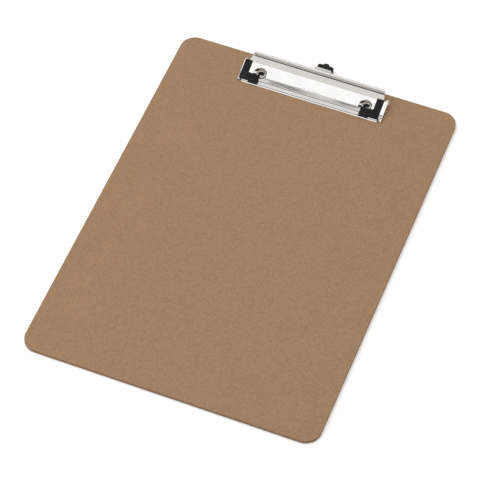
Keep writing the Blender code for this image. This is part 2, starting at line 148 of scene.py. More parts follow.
# %% Build the sky
world = bpy.data.worlds.new("studio")
bpy.context.scene.world = world
world.use_nodes = True
sky = world.node_tree
sky.nodes.clear()
TENT = (  # degrees from the rear horizon over the top, and the strip's colour
    (0.0, (0.80, 0.80, 0.80)),
    (25.0, (0.76, 0.75, 0.73)),
    (38.0, (0.66, 0.63, 0.59)),
    (48.0, (0.72, 0.69, 0.65)),
    (66.0, (0.74, 0.72, 0.69)),
    (73.0, (1.05, 1.05, 1.05)),
    (90.2, (1.05, 1.05, 1.05)),
    (90.7, (0.28, 0.27, 0.26)),
    (91.8, (0.30, 0.29, 0.28)),
    (92.6, (0.72, 0.70, 0.67)),
    (139.0, (0.78, 0.76, 0.73)),
    (145.0, (0.02, 0.02, 0.025)),
    (162.0, (0.02, 0.02, 0.025)),
    (168.0, (0.96, 0.95, 0.93)),
    (180.0, (0.96, 0.95, 0.93)),
)


def sky_node(kind, **settings):
    made = sky.nodes.new(kind)
    for name, value in settings.items():
        setattr(made, name, value)
    return made


sky_place = sky_node("ShaderNodeTexCoord")
sky_split = sky_node("ShaderNodeSeparateXYZ")
sky.links.new(sky_place.outputs["Generated"], sky_split.inputs[0])
over_the_top = sky_node("ShaderNodeMath", operation="ARCTAN2")
sky.links.new(sky_split.outputs["Z"], over_the_top.inputs[0])
sky.links.new(sky_split.outputs["Y"], over_the_top.inputs[1])
share = sky_node("ShaderNodeMath", operation="DIVIDE")
share.inputs[1].default_value = math.pi
sky.links.new(over_the_top.outputs[0], share.inputs[0])
tent = sky_node("ShaderNodeValToRGB")
stops = tent.color_ramp.elements  # a new ramp has its first and last stop already
stops[0].color = (*TENT[0][1], 1.0)
stops[1].color = (*TENT[-1][1], 1.0)
for degrees, colour in TENT[1:-1]:
    stops.new(degrees / 180.0).color = (*colour, 1.0)
sky.links.new(share.outputs[0], tent.inputs[0])
print("tent strips:", len(TENT))

# %% [markdown]
# The tent needs end walls too, or its strips would run on to the left and right horizons, where the
# ends of the clip would show them. The walls are one plain grey that fades in as a direction turns
# sideways. The last step shows the camera plain white and keeps the tent for the reflections.

# %% Close the tent at its sides and hide it from the camera
WALL_STARTS, WALL_FULL = 0.62, 0.85  # sideways part of a direction
sideways = sky_node("ShaderNodeMath", operation="ABSOLUTE")
sky.links.new(sky_split.outputs["X"], sideways.inputs[0])
side_wall = sky_node("ShaderNodeMapRange", interpolation_type="SMOOTHSTEP")
side_wall.inputs["From Min"].default_value = WALL_STARTS
side_wall.inputs["From Max"].default_value = WALL_FULL
sky.links.new(sideways.outputs[0], side_wall.inputs["Value"])
closed = sky_node("ShaderNodeMix", data_type="RGBA")
closed.inputs["B"].default_value = (0.58, 0.56, 0.54, 1.0)
sky.links.new(side_wall.outputs["Result"], closed.inputs["Factor"])
sky.links.new(tent.outputs["Color"], closed.inputs["A"])
eye = sky_node("ShaderNodeLightPath")
plain = sky_node("ShaderNodeMix", data_type="RGBA")
plain.inputs["B"].default_value = (1.0, 1.0, 1.0, 1.0)
sky.links.new(eye.outputs["Is Camera Ray"], plain.inputs["Factor"])
sky.links.new(closed.outputs["Result"], plain.inputs["A"])
sky_light = sky_node("ShaderNodeBackground")
sky.links.new(plain.outputs["Result"], sky_light.inputs["Color"])
sky_output = sky_node("ShaderNodeOutputWorld")
sky.links.new(sky_light.outputs[0], sky_output.inputs["Surface"])
sky_light.inputs["Strength"].default_value = 1.0
print("sky nodes:", len(sky.nodes))

# %% [markdown]
# Two large soft lamps give the light a direction. The wide one hangs over the clip, a little to the
# left. The other stands in front, low and to the left, and keeps the near end of the board as bright
# as the far end. Both are hidden from reflections, so that the chrome shows the tent alone.

# %% Hang the lamps


def softbox(name, place, aim, width, depth, power):
    """A rectangular area lamp at place, turned to aim."""
    lamp_data = bpy.data.lights.new(name, "AREA")
    lamp_data.shape = "RECTANGLE"
    lamp_data.size = width
    lamp_data.size_y = depth
    lamp_data.energy = power
    lamp = bpy.data.objects.new(name, lamp_data)
    bpy.context.collection.objects.link(lamp)
    lamp.location = place
    lamp.rotation_mode = "QUATERNION"
    lamp.rotation_quaternion = (Vector(aim) - Vector(place)).to_track_quat("-Z", "Y")
    lamp.visible_glossy = False  # the chrome shows the tent and not the lamps
    return lamp


softbox("overhead_lamp", (-0.38, 0.19, 1.30), (-0.38, 0.19, 0.0), 1.60, 0.90, 11.6)
softbox("front_lamp", (-1.05, -1.55, 0.75), (0.0, -0.10, 0.0), 0.90, 0.50, 13.8)
bpy.context.scene.view_settings.view_transform = "Standard"

# %% [markdown]
# ## Working by hand, in code
# Every new piece below is modelled with the same operators that a person uses: add a primitive, go
# into edit mode, select something, extrude, spin, bevel. An operator acts on whatever is selected,
# so the helpers do the two jobs that go wrong most often: they clear the old selection first, and
# they select vertices or edges by where they lie.

# %% Selection helpers


def begin():
    """Out of edit mode, with nothing selected."""
    if bpy.context.object and bpy.context.object.mode != "OBJECT":
        bpy.ops.object.mode_set(mode="OBJECT")
    bpy.ops.object.select_all(action="DESELECT")


def keep_active(piece):
    begin()
    piece.select_set(True)
    bpy.context.view_layer.objects.active = piece
    return piece


def edit(piece, mode="VERT"):
    keep_active(piece)
    bpy.ops.object.mode_set(mode="EDIT")
    bpy.ops.mesh.select_mode(type=mode)
    bpy.ops.mesh.select_all(action="DESELECT")


def pick(piece, test, kind="verts"):
    """In edit mode: selects the verts, edges whose ends, or faces whose middle pass the test."""
    bpy.ops.mesh.select_all(action="DESELECT")
    work = bmesh.from_edit_mesh(piece.data)
    found = 0
    for item in getattr(work, kind):
        if kind == "faces":
            points = [item.calc_center_median()]
        else:
            points = [item.co] if kind == "verts" else [vert.co for vert in item.verts]
        if all(test(point) for point in points):
            item.select_set(True)
            found += 1
    work.select_flush_mode()
    bmesh.update_edit_mesh(piece.data)
    return found


def pick_by(piece, kind, test):
    """In edit mode: selects the verts or edges that pass a test of the item itself."""
    work = bmesh.from_edit_mesh(piece.data)
    for item in getattr(work, kind):
        item.select_set(test(item))
    bmesh.update_edit_mesh(piece.data)


def done():
    bpy.ops.object.mode_set(mode="OBJECT")


def settle(piece):
    """Applies place, turn and scale, so that the object sits at the origin."""
    keep_active(piece)
    bpy.ops.object.transform_apply(location=True, rotation=True, scale=True)


def apply_all(piece):
    keep_active(piece)
    for modifier in list(piece.modifiers):
        bpy.ops.object.modifier_apply(modifier=modifier.name)


def outward(piece):
    """Merges doubles and turns every face outwards."""
    edit(piece)
    bpy.ops.mesh.select_all(action="SELECT")
    bpy.ops.mesh.remove_doubles(threshold=1e-6)
    bpy.ops.mesh.normals_make_consistent(inside=False)
    done()


def join_or_cut(piece, tool, operation):
    """Joins piece with tool, or cuts tool out of it, and throws the tool away."""
    boolean = piece.modifiers.new("boolean", "BOOLEAN")
    boolean.operation = operation
    boolean.solver = "EXACT"
    boolean.object = tool
    apply_all(piece)
    bpy.data.objects.remove(tool, do_unlink=True)


def soften(piece, width, segments=2, angle=40.0):
    """Breaks every sharp edge with a small rounding, as tumbling or moulding does."""
    edge = piece.modifiers.new("edge", "BEVEL")
    edge.width = width
    edge.segments = segments
    edge.limit_method = "ANGLE"
    edge.angle_limit = math.radians(angle)
    apply_all(piece)


def smooth(piece, angle=35.0):
    keep_active(piece)
    bpy.ops.object.shade_smooth_by_angle(angle=math.radians(angle))
    weighted = piece.modifiers.new("flat faces stay flat", "WEIGHTED_NORMAL")
    weighted.keep_sharp = True
    apply_all(piece)


def report(piece):
    triangles = sum(len(face.vertices) - 2 for face in piece.data.polygons)
    size = [round(value / MM, 1) for value in piece.dimensions]
    print("%s: %d triangles, %s mm" % (piece.name, triangles, size))


def drill_bit(radius, centre, axis, length, sides=64):
    """A round cutter about an axis through centre."""
    begin()
    bpy.ops.mesh.primitive_cylinder_add(vertices=sides, radius=radius, depth=length, location=centre)
    bit = bpy.context.object
    bit.rotation_mode = "QUATERNION"
    bit.rotation_quaternion = Vector((0.0, 0.0, 1.0)).rotation_difference(Vector(axis))
    settle(bit)
    return bit


print("helpers ready")

# %% [markdown]
# ## Finishes
# A finish is more than a colour. Two small node groups carry what several finishes share. One makes
# faint handling marks: soft smudges that change how sharp a reflection is. The other makes fine
# grain, for the pressed fibres of the board and the skin of rubber and moulded plastic. Each
# material places the groups with its own values, and keeps its shader to itself.

# %% Node group helpers


def new_group(name, inputs, outputs):
    """A shader node group with float inputs (name: default) and the outputs named."""
    group = bpy.data.node_groups.new(name, "ShaderNodeTree")
    group.interface.new_socket("Place", in_out="INPUT", socket_type="NodeSocketVector")
    for socket, value in inputs.items():
        made = group.interface.new_socket(socket, in_out="INPUT", socket_type="NodeSocketFloat")
        made.default_value = value
    for socket in outputs:
        group.interface.new_socket(socket, in_out="OUTPUT", socket_type="NodeSocketFloat")
    return group, group.nodes.new("NodeGroupInput"), group.nodes.new("NodeGroupOutput")


def feed(tree, slot, value):
    """Sets a number or a colour on a node's input, or links another node's output to it."""
    if isinstance(value, (int, float, tuple)):
        slot.default_value = value
    else:
        tree.links.new(value, slot)


def maths(tree, operation, *values):
    node = tree.nodes.new("ShaderNodeMath")
    node.operation = operation
    for slot, value in zip(node.inputs, values):
        feed(tree, slot, value)
    return node.outputs[0]


def mixed(tree, factor, low, high):
    """A colour that goes from low to high with the factor."""
    node = tree.nodes.new("ShaderNodeMix")
    node.data_type = "RGBA"
    for name, value in (("Factor", factor), ("A", low), ("B", high)):
        feed(tree, node.inputs[name], value)
    return node.outputs["Result"]


def noise(tree, place, scale, detail=2.0, roughness=0.5, distortion=0.0):
    node = tree.nodes.new("ShaderNodeTexNoise")
    feed(tree, node.inputs["Vector"], place)
    feed(tree, node.inputs["Scale"], scale)
    node.inputs["Detail"].default_value = detail
    node.inputs["Roughness"].default_value = roughness
    node.inputs["Distortion"].default_value = distortion
    return node.outputs["Fac"]


def stretched(tree, place, factors, turn=0.0):
    """The place, turned about Z and then scaled, so that a pattern comes out drawn long."""
    node = tree.nodes.new("ShaderNodeMapping")
    node.vector_type = "TEXTURE"
    tree.links.new(place, node.inputs["Vector"])
    node.inputs["Scale"].default_value = [1.0 / factor for factor in factors]
    node.inputs["Rotation"].default_value = (0.0, 0.0, turn)
    return node.outputs[0]


def between(tree, value, low, high, to_low=0.0, to_high=1.0):
    node = tree.nodes.new("ShaderNodeMapRange")
    tree.links.new(value, node.inputs["Value"])
    node.inputs["From Min"].default_value = low
    node.inputs["From Max"].default_value = high
    node.inputs["To Min"].default_value = to_low
    node.inputs["To Max"].default_value = to_high
    return node.outputs["Result"]


# %% The handling group
handling, inside, outside = new_group(
    "handling", {"Base Roughness": 0.1, "Smudge": 0.05, "Scratch": 0.0}, ["Roughness", "Height"]
)
cloudy = noise(handling, inside.outputs["Place"], 90.0, 3.0, 0.6)
smudges = between(handling, cloudy, 0.42, 0.68)
long_way = stretched(handling, inside.outputs["Place"], (220.0, 5200.0, 5200.0))
hairlines = noise(handling, long_way, 1.0, 2.0, 0.55)
hair_mask = between(handling, hairlines, 0.60, 0.72)
given = inside.outputs
rougher = maths(handling, "MULTIPLY_ADD", smudges, given["Smudge"], given["Base Roughness"])
rougher = maths(handling, "MULTIPLY_ADD", hair_mask, given["Scratch"], rougher)
handling.links.new(rougher, outside.inputs["Roughness"])
handling.links.new(hair_mask, outside.inputs["Height"])
print("handling group:", len(handling.nodes), "nodes")

# %% The grain group
grain, inside, outside = new_group("grain", {"Grain Scale": 1500.0}, ["Fine", "Broad", "Height"])
fine = noise(grain, inside.outputs["Place"], inside.outputs["Grain Scale"], 3.0, 0.6)
broad_scale = maths(grain, "MULTIPLY", inside.outputs["Grain Scale"], 0.07)
broad = noise(grain, inside.outputs["Place"], broad_scale, 3.0, 0.55)
grain.links.new(fine, outside.inputs["Fine"])
grain.links.new(broad, outside.inputs["Broad"])
both = maths(grain, "MULTIPLY_ADD", broad, 0.35, fine)
grain.links.new(both, outside.inputs["Height"])
print("grain group:", len(grain.nodes), "nodes")

# %% [markdown]
# ### Chrome and bright nickel
# Chrome plating is a mirror over a surface that is never quite flat, with faint smudges where
# fingers press it. The same recipe with other numbers makes the duller nickel of the eyelets,
# springs and pin. The mirror colour stays a plain pale grey: everything else comes from the room.

# %% Metal finishes


def start_material(name):
    material = bpy.data.materials.new(name)
    material.use_nodes = True
    tree = material.node_tree
    shader = tree.nodes["Principled BSDF"]
    place = tree.nodes.new("ShaderNodeTexCoord").outputs["Object"]
    return material, tree, shader, place


def place_group(tree, group, place, **values):
    node = tree.nodes.new("ShaderNodeGroup")
    node.node_tree = group
    tree.links.new(place, node.inputs["Place"])
    for name, value in values.items():
        node.inputs[name.replace("_", " ")].default_value = value
    return node


def bumped(tree, shader, height, strength, distance):
    bump = tree.nodes.new("ShaderNodeBump")
    bump.inputs["Strength"].default_value = strength
    bump.inputs["Distance"].default_value = distance
    tree.links.new(height, bump.inputs["Height"])
    tree.links.new(bump.outputs["Normal"], shader.inputs["Normal"])


def coloured(tree, factor, low_colour, high_colour):
    ramp = tree.nodes.new("ShaderNodeValToRGB")
    ramp.color_ramp.elements[0].color = (*low_colour, 1.0)
    ramp.color_ramp.elements[1].color = (*high_colour, 1.0)
    tree.links.new(factor, ramp.inputs[0])
    return ramp.outputs["Color"]


def metal(name, pale, dull, base_roughness, smudge, scratch, wave):
    material, tree, shader, place = start_material(name)
    shader.inputs["Metallic"].default_value = 1.0
    marks = place_group(
        tree, handling, place, Base_Roughness=base_roughness, Smudge=smudge, Scratch=scratch
    )
    tree.links.new(marks.outputs["Roughness"], shader.inputs["Roughness"])
    tint = noise(tree, place, 140.0, 3.0, 0.6)
    tinted = coloured(tree, between(tree, tint, 0.35, 0.65), dull, pale)
    tree.links.new(tinted, shader.inputs["Base Color"])
    waves = noise(tree, stretched(tree, place, (22.0, 100.0, 100.0)), 1.0, 1.0, 0.5)
    uneven = maths(tree, "MULTIPLY_ADD", marks.outputs["Height"], 0.008, waves)
    bumped(tree, shader, uneven, 1.0, wave)
    return material


chrome = metal(
    "polished_chrome", (0.93, 0.93, 0.925), (0.89, 0.885, 0.88), 0.012, 0.02, 0.02, 0.3 * MM
)
nickel = metal(
    "bright_nickel", (0.80, 0.79, 0.77), (0.70, 0.69, 0.67), 0.14, 0.10, 0.08, 0.02 * MM
)
print("metals:", chrome.name, nickel.name)

# %% [markdown]
# An eyelet is plated, but no light and no polishing wheel gets far into its narrow bore, and a
# mirror finish there would guide light down the tube and look grey. So the metal is bright at the
# two rolled ends, and between them its colour is painted nearly black, as painted shade in the bore.

# %% Metal of the eyelets, with painted shade in the bore
# painted shade in the bore: the colour is nearly black from the first depth under each end, and starts
# to darken at the second
BORE_SHADE_FULL_AT, BORE_SHADE_START_AT = 0.80 * MM, 0.35 * MM  # depth under each end
rolled_nickel = metal(
    "rolled_nickel", (0.86, 0.85, 0.83), (0.78, 0.77, 0.75), 0.10, 0.08, 0.06, 0.02 * MM
)
tree = rolled_nickel.node_tree
shader = tree.nodes["Principled BSDF"]
split = tree.nodes.new("ShaderNodeSeparateXYZ")
tree.links.new(tree.nodes["Texture Coordinate"].outputs["Object"], split.inputs[0])
half_height = (eyelet_high.z - eyelet_low.z) / 2
middle_height = maths(tree, "SUBTRACT", split.outputs["Z"], eyelet_low.z + half_height)
from_middle = maths(tree, "ABSOLUTE", middle_height)
outside_bore_shade = between(tree, from_middle, half_height - BORE_SHADE_FULL_AT, half_height - BORE_SHADE_START_AT)
plated = shader.inputs["Base Color"].links[0].from_socket
# painted shade: the bore's colour is mixed towards near black, away from the lit rolled ends
with_painted_bore_shade = mixed(tree, outside_bore_shade, (0.030, 0.027, 0.025, 1.0), plated)
tree.links.new(with_painted_bore_shade, shader.inputs["Base Color"])
print("eyelet metal nodes:", len(tree.nodes))

# %% [markdown]
# ### Hardboard
# Hardboard is wood fibre, boiled soft and pressed flat between hot plates. Its face is an even mid
# brown with short flecks, lighter and darker, that lie every way. Flecks that lie every way are made
# here from three noises, each drawn long in another direction and added together. The cut edge shows
# broken fibre and is coloured darker, partly for the fibre and partly as painted shade, and the rim
# between face and edge carries painted shade too. The back keeps the fine weave of the wire screen
# that it was pressed on.

# %% Hardboard finish
# Over the rim between these depths the face colour turns into the darker edge colour, which is partly
# the fibre's own tone and partly painted shade.
RIM_FACE, RIM_EDGE = 0.12 * MM, 0.40 * MM  # depth where the face's colour ends, and the edge's is full
hardboard, tree, shader, place = start_material("pressed_hardboard")
grains = place_group(tree, grain, place, Grain_Scale=1500.0)
flecks = None
for turn in (0.35, 1.45, 2.5):
    drawn = stretched(tree, place, (1150.0, 420.0, 1150.0), turn)
    one_way = noise(tree, drawn, 1.0, 3.0, 0.65, 0.6)
    flecks = one_way if flecks is None else maths(tree, "ADD", flecks, one_way)
fleck_mask = between(tree, flecks, 1.28, 1.72)
cloud = noise(tree, place, 28.0, 3.0, 0.6)
tone = maths(tree, "MULTIPLY_ADD", fleck_mask, 0.62, maths(tree, "MULTIPLY", cloud, 0.38))
tone = between(tree, tone, 0.30, 0.70)
face_colour = coloured(tree, tone, (0.250, 0.150, 0.084), (0.295, 0.183, 0.105))
split = tree.nodes.new("ShaderNodeSeparateXYZ")
tree.links.new(place, split.inputs[0])
thickness = board_high.z - board_low.z
from_middle = maths(tree, "SUBTRACT", split.outputs["Z"], board_low.z + thickness / 2)
from_middle = maths(tree, "ABSOLUTE", from_middle)
# mask for the cut edge and rim: broken fibre's darker tone together with painted shade
edge_fibre_and_shade_mask = between(tree, from_middle, thickness / 2 - RIM_FACE, thickness / 2 - RIM_EDGE)
edge_tone = noise(tree, stretched(tree, place, (420.0, 420.0, 2600.0)), 1.0, 3.0, 0.7)
edge_tone = between(tree, edge_tone, 0.35, 0.65)
# edge colour: the broken fibre's darker tone plus painted shade on the cut edge
edge_fibre_and_painted_shade = coloured(tree, edge_tone, (0.150, 0.096, 0.058), (0.230, 0.152, 0.094))
tree.links.new(mixed(tree, edge_fibre_and_shade_mask, face_colour, edge_fibre_and_painted_shade), shader.inputs["Base Color"])
dry = between(tree, grains.outputs["Fine"], 0.3, 0.7, 0.72, 0.86)
tree.links.new(dry, shader.inputs["Roughness"])
shader.inputs["Specular IOR Level"].default_value = 0.28

# %% The screen weave on the back of the board
SCREEN_PITCH = 1.6 * MM
back_mask = between(
    tree, split.outputs["Z"], board_low.z + 0.35 * MM, board_low.z + 0.20 * MM
)
wires = []
for axis in ("X", "Y"):
    along = maths(tree, "MULTIPLY", split.outputs[axis], 2 * math.pi / SCREEN_PITCH)
    wires.append(maths(tree, "SINE", along))
weave = maths(tree, "MULTIPLY", wires[0], wires[1])
back_height = maths(tree, "MULTIPLY", weave, maths(tree, "MULTIPLY", back_mask, 0.9))
board_height = maths(tree, "MULTIPLY_ADD", flecks, 0.5, grains.outputs["Height"])
bumped(tree, shader, maths(tree, "ADD", board_height, back_height), 0.55, 0.09 * MM)
print("hardboard nodes:", len(tree.nodes))

# %% [markdown]
# ### Rubber and moulded plastic
# Both are near black and both come out of a mould, so one recipe serves. Rubber scatters light from
# a fine skin and looks dry. The plastic pad has a smoother skin and a soft shine. A little grey dust
# lies in the broad hollows of the grain.

# %% Black finishes


def moulded(name, deep, dusty, grain_scale, low_roughness, high_roughness, bump_size, gloss):
    material, tree, shader, place = start_material(name)
    skin = place_group(tree, grain, place, Grain_Scale=grain_scale)
    dust = between(tree, skin.outputs["Broad"], 0.45, 0.75)
    tree.links.new(coloured(tree, dust, deep, dusty), shader.inputs["Base Color"])
    roughness = between(tree, skin.outputs["Fine"], 0.3, 0.7, low_roughness, high_roughness)
    tree.links.new(roughness, shader.inputs["Roughness"])
    bumped(tree, shader, skin.outputs["Height"], 0.6, bump_size)
    shader.inputs["Specular IOR Level"].default_value = gloss
    return material


rubber = moulded(
    "dry_black_rubber",
    (0.006, 0.006, 0.0065), (0.014, 0.014, 0.015), 3200.0, 0.52, 0.68, 0.04 * MM, 0.22,
)
plastic = moulded(
    "black_moulded_pad",
    (0.005, 0.005, 0.0055), (0.010, 0.010, 0.011), 2600.0, 0.34, 0.46, 0.02 * MM, 0.30,
)
print("black finishes:", rubber.name, plastic.name)

# %% [markdown]
# ## Finishing a piece
# Each finished piece gets its material, rides on the body that carries it, and hides the plain solid
# it replaces.

# %% Dress a piece


def dress(piece, name, material, body, node):
    piece.name = name
    piece.data.name = name
    piece.data.materials.clear()
    piece.data.materials.append(material)
    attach(piece, body)
    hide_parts(node)
    report(piece)


# %% [markdown]
# ## The board
# The panel starts as a cube at the board's size. Its four upright corner edges are bevelled round,
# and then both rims get a very small rounding, because a die-cut board never has a knife edge. The
# holes for the two eyelets are drilled after that, with a wider pocket from below in which the
# eyelets' rolled ends lie, so that the board stands flat.

# %% Model the board
CORNER_RADIUS = 12.0 * MM
RIM_ROUND = 0.4 * MM
POCKET_RADIUS = 4.6 * MM
POCKET_DEPTH = 1.1 * MM
BARREL_HOLE = 3.2 * MM

begin()
board_middle = (board_low + board_high) / 2
bpy.ops.mesh.primitive_cube_add(size=1.0, location=board_middle)
board = bpy.context.object
board.scale = board_high - board_low
settle(board)
edit(board, "EDGE")
pick_by(board, "edges", lambda edge: (edge.verts[0].co - edge.verts[1].co).xy.length < 1e-6)
bpy.ops.mesh.bevel(offset=CORNER_RADIUS, segments=20, affect="EDGES")
done()
for side in (-1, 1):
    centre = (side * EYELET_X, EYELET_Y, board_low.z)
    join_or_cut(board, drill_bit(BARREL_HOLE, centre, (0, 0, 1), 20 * MM), "DIFFERENCE")
    pocket = drill_bit(POCKET_RADIUS, centre, (0, 0, 1), 2 * POCKET_DEPTH)
    join_or_cut(board, pocket, "DIFFERENCE")
soften(board, RIM_ROUND, 3, 60.0)
smooth(board, 40.0)
dress(board, "hardboard_panel", hardboard, "board_body", "board")

# %% [markdown]
# ## Folding sheet metal
# The clip is one sheet of steel, pressed into shape across its width. A press brake makes such a
# part from straight runs and bends, and two operators do the same here: extrude carries an edge
# straight on, and spin carries it round a bend. The strip is described by a start, a heading and a
# list of moves, which reads like the bending sheet on a workshop wall. The helper keeps track of
# where the edge is, because spin needs the centre of each bend. Spin turns the other way round from
# a right-hand screw, so the angle gets a minus sign.

# %% The folding helper
BEND_STEP = math.radians(6.0)


def fold_strip(low_x, high_x, start, heading, moves):
    """A strip folded in the YZ plane.

    A move is ("run", length) or ("bend", radius, degrees), and the first one is a run.
    """
    y, z = start
    heading = math.radians(heading)
    first = moves[0][1]
    good_side = Vector((0.0, -math.sin(heading), math.cos(heading)))  # on the left of the heading
    begin()
    middle = (
        (low_x + high_x) / 2,
        y + first / 2 * math.cos(heading),
        z + first / 2 * math.sin(heading),
    )
    bpy.ops.mesh.primitive_plane_add(size=1.0, location=middle, rotation=(heading, 0.0, 0.0))
    strip = bpy.context.object
    strip.scale = (high_x - low_x, first, 1.0)
    settle(strip)
    y, z = y + first * math.cos(heading), z + first * math.sin(heading)
    edit(strip, "EDGE")
    pick(strip, lambda point: abs(point.y - y) + abs(point.z - z) < 1e-6, "edges")
    for kind, *sizes in moves[1:]:
        if kind == "run":
            step = (0.0, sizes[0] * math.cos(heading), sizes[0] * math.sin(heading))
            bpy.ops.mesh.extrude_edges_move(TRANSFORM_OT_translate={"value": step})
            y, z = y + step[1], z + step[2]
            continue
        radius, turn = sizes[0], math.radians(sizes[1])
        left = math.copysign(radius, turn)
        centre_y = y - left * math.sin(heading)
        centre_z = z + left * math.cos(heading)
        bpy.ops.mesh.spin(
            steps=max(2, round(abs(turn) / BEND_STEP)),
            angle=-turn,
            center=(0.0, centre_y, centre_z),
            axis=(1.0, 0.0, 0.0),
        )
        heading += turn
        y = centre_y + left * math.sin(heading)
        z = centre_z - left * math.cos(heading)
    bpy.ops.mesh.select_all(action="SELECT")
    bpy.ops.mesh.normals_make_consistent(inside=False)
    work = bmesh.from_edit_mesh(strip.data)
    work.faces.ensure_lookup_table()
    if work.faces[0].normal.dot(good_side) < 0.0:
        bpy.ops.mesh.flip_normals()
    done()
    return strip


def slice_at(piece, point, normal):
    """In edit mode: a new row of edges where a plane meets the whole piece."""
    bpy.ops.mesh.select_all(action="SELECT")
    bpy.ops.mesh.bisect(plane_co=point, plane_no=normal)


def thicken(piece, thickness, side):
    """Gives a folded sheet its thickness: side -1 under the modelled surface, 1 on top of it."""
    wall = piece.modifiers.new("thickness", "SOLIDIFY")
    wall.thickness = thickness
    wall.offset = side
    wall.use_even_offset = True
    apply_all(piece)


print("folding helper ready")

# %% [markdown]
# ## The jaw
# The jaw is the clip's visible sheet. Seen from the side, it rises from a lip that leans back a
# little, bends into a flat plate that climbs to a hump, passes round the hump over the pin, runs on
# for a few millimetres and ends in a rolled edge, which is the thumb's place. One shallow groove near
# the lip keeps the long plate stiff, and behind it a very soft bend, the brow, brings the plate's
# front down by a few degrees. The side view is laid out first: the plate's line has to touch the
# hump's circle, and the part behind it has to touch both the hump and the roll.

# %% Lay out the jaw's side view
SHEET = 0.8 * MM
LIP_LEAN = math.radians(62.0)  # upright would be 90
LIP_RUN = 0.75 * MM
LIP_ROUND = 1.9 * MM
HUMP_RADIUS = 3.2 * MM
ROLL_OUTER = 1.75 * MM
ROLL_TURN = 290.0
PLATE_SLOPE = math.radians(17.0)
GROOVE_BEND = (1.0 * MM, 36.0)  # radius and degrees of the groove's bends
GROOVE_FROM_LIP = 0.3 * MM
BROW = (100.0 * MM, 4.0)  # radius and degrees of the soft bend that brings the plate's front down
HALF_WIDTH = jaw_high.x
lip_y, foot_z = jaw_low.y - 0.4 * MM, jaw_low.z
roll_y, roll_z = jaw_high.y + 0.3 * MM - ROLL_OUTER, jaw_high.z + 0.2 * MM - ROLL_OUTER

hump_start_y = PIN_Y - HUMP_RADIUS * math.sin(PLATE_SLOPE)
hump_start_z = PIN_Z + HUMP_RADIUS * math.cos(PLATE_SLOPE)
roll_inner = ROLL_OUTER - SHEET
span = math.hypot(roll_y - PIN_Y, roll_z - PIN_Z)
level = math.atan2(roll_z - PIN_Z, roll_y - PIN_Y) - math.asin((HUMP_RADIUS + roll_inner) / span)
level_run = math.sqrt(span**2 - (HUMP_RADIUS + roll_inner) ** 2)

# The line is walked back from the hump to find where the lip has to start.
front_slope = PLATE_SLOPE + math.radians(BROW[1])
groove_run = 4 * GROOVE_BEND[0] * math.sin(math.radians(GROOVE_BEND[1]))
front_run = GROOVE_FROM_LIP + groove_run
brow_y = BROW[0] * (math.sin(front_slope) - math.sin(PLATE_SLOPE))
brow_z = BROW[0] * (math.cos(PLATE_SLOPE) - math.cos(front_slope))
lip_bend_y = lip_y + LIP_RUN * math.cos(LIP_LEAN)
plate_start_y = lip_bend_y + LIP_ROUND * (math.sin(LIP_LEAN) - math.sin(front_slope))
plate_run = hump_start_y - plate_start_y - brow_y - front_run * math.cos(front_slope)
plate_run = plate_run / math.cos(PLATE_SLOPE)
plate_start_z = hump_start_z - plate_run * math.sin(PLATE_SLOPE) - brow_z
plate_start_z = plate_start_z - front_run * math.sin(front_slope)
lip_bend_z = plate_start_z - LIP_ROUND * (math.cos(front_slope) - math.cos(LIP_LEAN))
lip_start = (lip_y, lip_bend_z - LIP_RUN * math.sin(LIP_LEAN))
slope = math.degrees(PLATE_SLOPE)
jaw_moves = [
    ("run", LIP_RUN),
    ("bend", LIP_ROUND, slope + BROW[1] - math.degrees(LIP_LEAN)),
    ("run", GROOVE_FROM_LIP),
    ("bend", GROOVE_BEND[0], -GROOVE_BEND[1]),
    ("bend", GROOVE_BEND[0], 2 * GROOVE_BEND[1]),
    ("bend", GROOVE_BEND[0], -GROOVE_BEND[1]),
    ("bend", BROW[0], -BROW[1]),
    ("run", plate_run),
    ("bend", HUMP_RADIUS, math.degrees(level) - slope),
    ("run", level_run),
    ("bend", roll_inner, ROLL_TURN - math.degrees(level)),
]
print("plate %.1f mm, part behind the hump %.1f mm" % (plate_run / MM, level_run / MM))
print("the lip starts %.2f mm above the skirts' foot" % ((lip_start[1] - foot_z) / MM))

# %% [markdown]
# The folded strip is then trimmed as a press tool would trim the blank: the lip stops short of the
# corners, a slit lets each side skirt fold down by itself, and the part behind the hump is narrower
# than the front. The skirts are the strip's side edges, extruded down to one level. A bevel turns
# each sharp fold into a 2 mm bend.

# %% Fold and trim the jaw
SKIRT_COLUMN = HALF_WIDTH - 2.1 * MM
SLIT_COLUMN = SKIRT_COLUMN - 1.3 * MM
REAR_COLUMN = HALF_WIDTH - 5.5 * MM
HUMP_COLUMN = HALF_WIDTH - 3.6 * MM
SLIT_END_Y = lip_y + 2.4 * MM
SKIRT_START_Y = lip_y + 0.6 * MM
EAR_END = 20.0  # degrees above level, where the round ear stops behind the pin
hump_end_y = PIN_Y - HUMP_RADIUS * math.sin(level)

jaw = fold_strip(-HALF_WIDTH, HALF_WIDTH, lip_start, math.degrees(LIP_LEAN), jaw_moves)
edit(jaw, "FACE")
for column in (SKIRT_COLUMN, SLIT_COLUMN, REAR_COLUMN):
    for side in (-1, 1):
        slice_at(jaw, (side * column, 0.0, 0.0), (1.0, 0.0, 0.0))
slice_at(jaw, (0.0, SLIT_END_Y, 0.0), (0.0, 1.0, 0.0))
slice_at(jaw, (0.0, SKIRT_START_Y, 0.0), (0.0, 1.0, 0.0))
EDGE = 0.01 * MM  # how near counts as on a line


def front_corner(point):
    return abs(point.x) > SLIT_COLUMN - EDGE and point.y < SKIRT_START_Y + EDGE


def slit(point):
    in_column = SLIT_COLUMN - EDGE < abs(point.x) < SKIRT_COLUMN + EDGE
    return in_column and point.y < SLIT_END_Y + EDGE


def behind_hump(point):
    return abs(point.x) > REAR_COLUMN - EDGE and point.y > hump_end_y - EDGE


